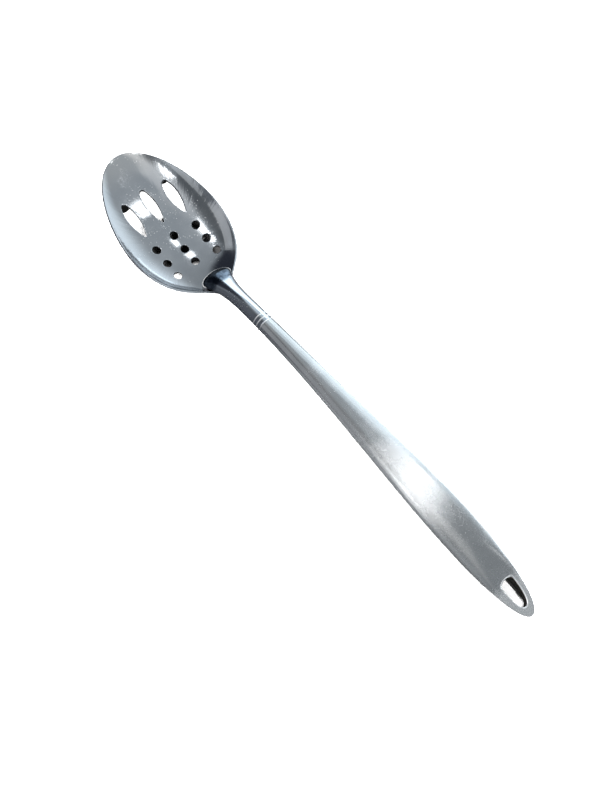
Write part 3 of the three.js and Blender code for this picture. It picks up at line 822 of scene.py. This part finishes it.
def shell_section(station, side):
    """Where a shell's skin meets the seam: its height, the turn there, and the half width. There
    is none at the closed end, where the shell has run out."""
    half, up, down, square = handle_sizes(station)
    edge = seam_height(station) + side * (SEAM_HALF + 0.02)
    above_middle = edge - spine(station)
    tall = up if above_middle > 0 else down
    share = abs(above_middle) / tall if tall > 0 else 1
    if share >= 0.98:
        return None
    first = side * math.copysign(math.asin(share ** (square / 2)), above_middle)
    return edge, first, half * math.cos(first) ** (2 / square)


def half_shell(side):
    """One pressed shell: the handle's skin above (1) or below (-1) the seam, with its wall."""
    stations = [x for x in handle_stations() if shell_section(x, side)]
    loop = 2 * HALF_TURN_SIDES + 2
    shape, places = flat_grid(len(stations) - 1, loop)
    for vert, row, corner in places:
        station = stations[row]
        edge, first, edge_half = shell_section(station, side)
        crown = abs(handle_skin(station, side * math.pi / 2)[2] - edge)
        # The wall gets thinner where the shell runs out at the closed end.
        wall = min(SHELL_WALL, 0.4 * edge_half, 0.4 * crown)
        corner %= loop
        outside = corner <= HALF_TURN_SIDES
        step = corner if outside else loop - 1 - corner
        sweep = (first + (math.pi - 2 * first) * step / HALF_TURN_SIDES) * side
        station, y, height = handle_skin(station, sweep, 0 if outside else wall)
        height = max(height, edge) if side > 0 else min(height, edge)
        vert.co = at(station, y, height)
    close_up(shape)
    return shape


def eye_punch(grow):
    """A tall closed tool in the shape of the eye, from 20 mm below the table to 20 mm above it."""
    outline = eye_outline(grow)
    shape, places = flat_grid(len(outline), 1)
    for vert, row, side in places:
        point = outline[row % len(outline)]
        vert.co = at(point.x, point.y, 40 * side - 20)
    close_up(shape)
    return object_from(shape, "eye_punch")


def handle_finish():
    """Bright next to the neck, darker satin where the hand holds it and paler round the eye: painted shade
    and light.
    """
    material, tree, shader, place, along, color, rough = drawn_steel(
        "handle_satin_steel", (0.58, 0.6, 0.61, 1), (0.66, 0.67, 0.68, 1), 0.2, 0.28, 0.000012)
    # Painted shade darkens the grip and painted light makes the land round the eye paler, both with frayed
    # edges.
    painted_edge_noise = noise(tree, place, 0.5, 5.0)
    grip_painted_shade = fade(tree, add_share(tree, along, painted_edge_noise, 14.0), -110, -84, 0.8, 0.0)
    eye_land_painted_light = fade(tree, add_share(tree, along, painted_edge_noise, 6.0), -152, -144, 0.9, 0.0)
    color = blend_colors(tree, grip_painted_shade, color, (0.36, 0.37, 0.375, 1))
    color = blend_colors(tree, eye_land_painted_light, color, (0.86, 0.86, 0.855, 1))
    dress(tree, shader, color, multiply(tree, rough, fade(tree, along, -60, 20, 1.0, 0.75)))
    return material


handle_steel = handle_finish()
eye_tool = eye_punch(SLEEVE_WALL + 0.03)
for side, name, node in ((1, "upper_shell", "handle_upper_shell"), (-1, "lower_shell", "handle_lower_shell")):
    cut_out(piece_from(half_shell(side), name, node, handle_steel), eye_tool)
bpy.data.objects.remove(eye_tool)

# Seam weld. One bead of weld joins the shells along both sides and round the closed end. It is
# ground flush and polished with them, so only a faint line is left.

seam_stations = handle_stations()
seam_path = [(x, 1) for x in reversed(seam_stations)] + [(x, -1) for x in seam_stations[1:]]
# Corners of the bead: how high in shares of its half height, and how far out in millimetres.
SEAM_SECTION = ((-1, 0), (-0.9, 0.02), (0, 0.03), (0.9, 0.02), (1, 0), (1, -0.9), (-1, -0.9))


def seam_point(row, corner):
    station, side = seam_path[row]
    half, up, down, square = handle_sizes(station)
    before, before_side = seam_path[max(row - 1, 0)]
    after, after_side = seam_path[min(row + 1, len(seam_path) - 1)]
    step_out = after_side * handle_sizes(after)[0] - before_side * handle_sizes(before)[0]
    ahead = Vector((after - before, step_out))
    away = Vector((ahead.y, -ahead.x)).normalized()
    rise, out = SEAM_SECTION[corner]
    height = seam_height(station) + rise * SEAM_HALF
    above_middle = height - spine(station)
    tall = max(up if above_middle > 0 else down, 0.001)
    share = min(abs(above_middle) / tall, 1)
    width = half * (1 - share**square) ** (1 / square)
    # The closed end is almost upright, so the bead is hardly narrower at its edges there.
    if station < 0.5:
        width = half * (1 - 0.02 * share)
    point = Vector((station, side * width)) + away * out
    return at(point.x, point.y, height)


seam, places = flat_grid(len(seam_path) - 1, len(SEAM_SECTION))
for vert, row, corner in places:
    vert.co = seam_point(row, corner % len(SEAM_SECTION))
close_up(seam)
piece_from(seam, "seam_bead", "handle_seam_weld", handle_steel, sharp=40)

# Eye sleeve. A short bullet-shaped tube of polished steel lines the hanging eye from the land to
# the foot. Its top is rolled over into a narrow bright lip that closes the edge of the shell.

LIP_STEPS = 6
# Each ring of the tube: how far it lies outside the eye, the level it starts from, and its lift.
sleeve_profile = [(SLEEVE_WALL, "foot", 0.35), (SLEEVE_WALL, "land", -1.2), (SLEEVE_WALL, "land", 0.0)]
for i in range(LIP_STEPS + 1):
    sweep = math.pi / 2 * i / LIP_STEPS
    sleeve_profile.append((SLEEVE_WALL * (1 - math.sin(sweep)), "land", 0.04 - 0.9 * (1 - math.cos(sweep))))
for i in range(LIP_STEPS + 1):
    sweep = math.pi / 2 * (1 - i / LIP_STEPS)
    sleeve_profile.append((0.5 * (1 - math.sin(sweep)), "foot", 0.5 * (1 - math.cos(sweep))))
eye_rings = [eye_outline(grow) for grow, _, _ in sleeve_profile]
count = len(eye_rings[0])
sleeve, places = flat_grid(count, len(sleeve_profile))
for vert, row, ring in places:
    ring %= len(sleeve_profile)
    grow, level, lift = sleeve_profile[ring]
    point = eye_rings[ring][row % count]
    base = land_height(point.x) if level == "land" else -TABLE_Z
    vert.co = at(point.x, point.y, base + lift)
close_up(sleeve)


def eye_lip_and_wall_painted_steel():
    """Polished lips of the eye painted pale as a highlight, and its upright wall painted dull, brownish black
    as shade.
    """
    material, tree, shader, place = new_steel("eye_painted_shade_steel")
    normal = tree.nodes["Texture Coordinate"].outputs["Normal"]
    facing = add_node(tree, "SeparateXYZ", Vector=normal).outputs["Z"]
    grain = noise(tree, place, 2.2, 6.0)
    edge = add_share(tree, gap_to(tree, facing, 0), grain, 0.3)
    wall = fade(tree, edge, 0.36, 0.62, 1.0, 0.0)
    # Painted shade on the upright wall of the eye, and painted highlight on its lips, picked by which way
    # each face points.
    wall_painted_shade = blend_colors(tree, fade(tree, grain, 0.4, 0.68), (0.03, 0.028, 0.026, 1), (0.16, 0.15, 0.135, 1))
    color = blend_colors(tree, wall, (0.93, 0.93, 0.92, 1), wall_painted_shade)
    dress(tree, shader, color, fade(tree, edge, 0.36, 0.62, 0.6, 0.32))
    bump_from(tree, shader, grain, 0.00003)
    return material


piece_from(sleeve, "eye_lining", "hanging_eye_sleeve", eye_lip_and_wall_painted_steel(), sharp=50)

# Stage. A plain pale floor, soft studio light, and the camera where the photographer held it,
# high over the left side of the handle's end.

floor_shape = bmesh.new()
bmesh.ops.create_grid(floor_shape, x_segments=1, y_segments=1, size=3)
floor = object_from(floor_shape, "floor")
floor.location = (0, 0, -0.0001)
paper = bpy.data.materials.new("pale_paper")
paper.use_nodes = True
tree = paper.node_tree
fibres = add_node(tree, "TexNoise", Scale=900.0, Detail=3.0).outputs["Fac"]
white = tree.nodes["Principled BSDF"]
white.inputs["Roughness"].default_value = 0.9
white.inputs["Specular IOR Level"].default_value = 0
paper_color = blend_colors(tree, fibres, (0.24, 0.24, 0.24, 1), (0.26, 0.26, 0.26, 1))
floor_place = add_node(tree, "TexCoord").outputs["Object"]
floor_axes = add_node(tree, "SeparateXYZ", Vector=floor_place).outputs

# Painted shade: where the bowl rests on the paper, no light gets in between the two, so the paper is painted
# dark there.
# Places on the paper are in metres of the shared frame.
rear_edge = fade(tree, add_share(tree, floor_axes["X"], floor_axes["Y"], -0.57), 0.094, 0.099)
paper_painted_shade = multiply(tree, rear_edge, fade(tree, floor_axes["X"], 0.123, 0.127, 1.0, 0.0))
aside = fade(tree, gap_to(tree, floor_axes["Y"], 0), 0.0205, 0.0222, 0.97, 0.0)
paper_painted_shade = multiply(tree, paper_painted_shade, aside)
# Under two of the rear holes the painted shade is a little lighter, as if some of the window's light got in
# below the bowl's wall.
for x, y in ((0.0969, -0.0157), (0.1081, -0.0163)):
    painted_light_spot = fade(tree, distance_to(tree, floor_place, (x, y, 0)), 0.004, 0.005, 0.92, 1.0)
    paper_painted_shade = multiply(tree, paper_painted_shade, painted_light_spot)
# Three small spots of painted shade: what the camera sees of the paper through one end of each slot.
for x, y, reach in ((0.1602, 0.0102, 0.0048), (0.1624, -0.0223, 0.0038), (0.1354, -0.005, 0.0026)):
    gap = distance_to(tree, floor_place, (x, y, 0))
    slot_painted_shade = fade(tree, gap, reach - 0.0005, reach, 0.995, 0.0)
    paper_painted_shade = combine(tree, "MAXIMUM", paper_painted_shade, slot_painted_shade)
feed(tree, white.inputs["Base Color"], blend_colors(tree, paper_painted_shade, paper_color, (0, 0, 0, 1)))

# The camera sees the paper brightly lit. The steel sees it dimmer, as a photographer's table is.
# Painted light and shade in what the steel sees: paler on the window's side, and darker towards and under the
# bowl.
window_side_painted_light = fade(tree, floor_axes["Y"], -0.025, 0.005)
bowl_side_painted_shade = fade(tree, floor_axes["X"], 0.0, 0.05, 0.0, 0.75)
dim_color = blend_colors(tree, window_side_painted_light, (0.16, 0.17, 0.176, 1), (0.03, 0.031, 0.032, 1))
dim_color = blend_colors(tree, bowl_side_painted_shade, dim_color, (0.003, 0.0035, 0.005, 1))
dim = add_node(tree, "BsdfDiffuse", Color=dim_color)
seen_by = add_node(tree, "MixShader")
feed(tree, seen_by.inputs[0], add_node(tree, "LightPath").outputs["Is Camera Ray"])
feed(tree, seen_by.inputs[1], dim.outputs[0])
feed(tree, seen_by.inputs[2], white.outputs[0])
feed(tree, tree.nodes["Material Output"].inputs["Surface"], seen_by.outputs[0])
floor.data.materials.append(paper)

# The room around the spoon: one soft patch of light or shade for each direction and spread, in
# degrees, laid over a plain grey. The window side is bright, the far side and the front are dark.

ROOM_GREY = (0.405, 0.435, 0.46)
ROOM_PATCHES = (
    # azimuth, elevation, inner spread, outer spread, colour
    (-80, -10, 8, 62, (1.04, 1.16, 1.24)),  # window
    (145, 66, 4, 22, (0.74, 0.75, 0.76)),  # far ceiling
    (86, 52, 12, 28, (0.13, 0.14, 0.15)),  # far wall
    (45, 50, 6, 22, (0.15, 0.16, 0.17)),  # far side
    (62, 5, 26, 48, (0.15, 0.16, 0.18)),  # far floor
    (5, 34, 12, 22, (0.04, 0.045, 0.06)),  # dark front
    (5, 8, 16, 26, (0.04, 0.045, 0.06)),  # low part of the dark front
)


def towards(azimuth, elevation):
    """The direction, seen from the spoon, that lies at two angles in degrees."""
    turn, rise = math.radians(azimuth), math.radians(elevation)
    return Vector((math.cos(rise) * math.cos(turn), math.cos(rise) * math.sin(turn), math.sin(rise)))


room = bpy.data.worlds.new("studio")
room.use_nodes = True
sky = room.node_tree
direction = add_node(sky, "TexCoord").outputs["Generated"]
room_light = (*ROOM_GREY, 1)
for azimuth, elevation, inner, outer, color in ROOM_PATCHES:
    facing = add_node(sky, "VectorMath", {"operation": "DOT_PRODUCT"}, Vector=direction)
    facing.inputs[1].default_value = towards(azimuth, elevation)
    far, near = math.cos(math.radians(outer)), math.cos(math.radians(inner))
    patch = fade(sky, facing.outputs["Value"], far, near)
    room_light = blend_colors(sky, patch, room_light, (*color, 1))
feed(sky, sky.nodes["Background"].inputs["Color"], room_light)
bpy.context.scene.world = room
bpy.context.scene.view_settings.view_transform = "Standard"


def panel_light(name, place, target, wide, tall, brightness, color=(1, 1, 1)):
    """A flat soft lamp that faces a point. It looks as bright as a white card in full light."""
    lamp = bpy.data.lights.new(name, "AREA")
    lamp.shape = "RECTANGLE"
    lamp.size, lamp.size_y = wide, tall
    lamp.energy = brightness * math.pi * wide * tall
    lamp.color = color
    light = bpy.data.objects.new(name, lamp)
    bpy.context.scene.collection.objects.link(light)
    light.location = place
    light.visible_camera = False
    light.rotation_euler = (Vector(target) - Vector(place)).to_track_quat("-Z", "Y").to_euler()
    return light


def strip_light(name, start, end, width, brightness):
    """A long lamp on a ceiling 0.85 m up, which runs between two points of the plan, in metres."""
    run = Vector(end) - Vector(start)
    middle = (Vector(start) + Vector(end)) / 2
    place, below = (middle.x, middle.y, 0.85), (middle.x, middle.y, 0)
    light = panel_light(name, place, below, run.length, width, brightness)
    light.rotation_euler = (0, 0, math.atan2(run.y, run.x))
    return light


def wall_card(name, azimuth, elevation, wide, tall, brightness, color=(1, 1, 1)):
    """A flat soft lamp two metres off. Its place and its size are angles seen from the spoon."""
    width, height = (4 * math.tan(math.radians(size / 2)) for size in (wide, tall))
    return panel_light(name, 2 * towards(azimuth, elevation), (0, 0, 0), width, height, brightness, color)


def floor_lamp(name, azimuth, elevation, wide, tall, brightness):
    """A strong lamp two and a half metres off, which faces the paper under the bowl."""
    return panel_light(name, 2.5 * towards(azimuth, elevation), (0.1, 0, 0), wide, tall, brightness)


def pieces_named(*names):
    return [bpy.data.objects[name] for name in names]


def shine_only_on(light, pieces):
    receivers = bpy.data.collections.new(light.name + "_receivers")
    for piece in pieces:
        receivers.objects.link(piece)
    light.light_linking.receiver_collection = receivers


bowl_group = pieces_named("bowl_dish", "nose_weld")
shell_group = pieces_named("upper_shell", "lower_shell", "seam_bead", "eye_lining")
neck_group = pieces_named("neck_rod", "joint_ring_weld")
weld_group = pieces_named("nose_weld", "joint_ring_weld")
sleeve_group = pieces_named("eye_lining")
handle_group = shell_group + neck_group
WINDOW_BLUE = (0.86, 1, 1.08)
# Each lamp lights only the pieces named first. They stand for the ceiling's long lamps, the
# windows and the walls that the steel mirrors, and the last three light the paper.
for pieces, kind, name, *sizes in (
    (handle_group, strip_light, "handle_strip", (-0.178, -1.3), (-0.178, 1.4), 0.13, 2.8),
    (shell_group, panel_light, "strip_end", (-0.125, 2, 0.9), (-0.09, 0, 0.02), 0.22, 1.9, 1.6),
    (handle_group, wall_card, "window_left", -71, 24, 38, 48, 0.52, WINDOW_BLUE),
    (handle_group, wall_card, "window_right", -36, 24, 36, 36, 0.75, WINDOW_BLUE),
    (handle_group, wall_card, "window_top", -50, 55, 50, 24, 0.5, WINDOW_BLUE),
    (neck_group, wall_card, "neck_window", -42, 27, 44, 28, 1.3, WINDOW_BLUE),
    (shell_group, wall_card, "shell_fill", 80, 22, 76, 60, 0.2),
    (shell_group, wall_card, "shell_fill_top", 62, 62, 60, 16, 0.16),
    (shell_group, wall_card, "eye_glint", -134, 36, 7, 9, 1.6),
    (sleeve_group, wall_card, "eye_lip", 105, 45, 40, 40, 1.2),
    (weld_group, wall_card, "weld_lines", -15, 55, 120, 64, 1),
    (bowl_group, wall_card, "bowl_wall_right", 50, 37, 44, 27, 0.38),
    (bowl_group, wall_card, "bowl_glow", -57, 8, 26, 18, 0.5, WINDOW_BLUE),
    (bowl_group, wall_card, "bowl_wall_left", 102, 37, 20, 18, 0.3),
    (bowl_group, strip_light, "bowl_lamp_far", (-0.225, 0.22), (-0.225, 0.48), 0.11, 2.8),
    (bowl_group, strip_light, "bowl_lamp_near", (-0.13, -0.3), (-0.13, -0.44), 0.1, 2.2),
    (bowl_group, strip_light, "bowl_lamp_right", (0.12, 0.105), (0.44, 0.14), 0.11, 3),
    (bowl_group, strip_light, "dab_left", (0.125, -0.285), (0.195, -0.275), 0.06, 2.5),
    (bowl_group, strip_light, "dab_right", (0.30, -0.25), (0.41, -0.24), 0.08, 2.5),
    ([floor], floor_lamp, "floor_lamp_front", -13, 40, 0.35, 0.2, 1700),
    ([floor], floor_lamp, "floor_lamp_left", 152, 15, 0.5, 0.3, 2600),
    ([floor], floor_lamp, "floor_lamp_right", 193, 15, 0.5, 0.3, 2400),
):
    shine_only_on(kind(name, *sizes), pieces)

CAMERA_PLACE = Vector((-0.0970188, 0.1016166, 0.3058928))
LOOK = Vector((0.260479, -0.273793, -0.925845)).normalized()
RIGHT = Vector((-0.658842, -0.751379, 0.036840)).normalized()
UP = RIGHT.cross(LOOK)
camera = bpy.data.objects.new("camera", bpy.data.cameras.new("camera"))
bpy.context.scene.collection.objects.link(camera)
camera.matrix_world = Matrix.Translation(CAMERA_PLACE) @ Matrix((RIGHT, UP, -LOOK)).transposed().to_4x4()
camera.data.lens = 26.783
camera.data.sensor_width = 36
camera.data.clip_start = 0.01
camera.data.clip_end = 20
bpy.context.scene.camera = camera

# Three narrow flashes at the camera keep the paper white in the eye, beside the bowl's rim and in
# one slot. For each: its point on the paper, its spread in degrees, its shift to the right.
for name, target, spread, shift in (
    ("eye_flash", (-0.157, 0, 0), 6, 0.2),
    ("rim_flash", (0.0862, -0.0225, 0), 3.4, 0),
    ("slot_flash", (0.1342, 0.0117, 0), 1.2, 0),
):
    lamp = bpy.data.lights.new(name, "SPOT")
    lamp.energy = 16
    lamp.spot_size = math.radians(spread)
    lamp.spot_blend = 0.4
    flash = bpy.data.objects.new(name, lamp)
    bpy.context.scene.collection.objects.link(flash)
    flash.location = CAMERA_PLACE + RIGHT * shift
    flash.rotation_euler = (Vector(target) - flash.location).to_track_quat("-Z", "Y").to_euler()
    shine_only_on(flash, [floor])
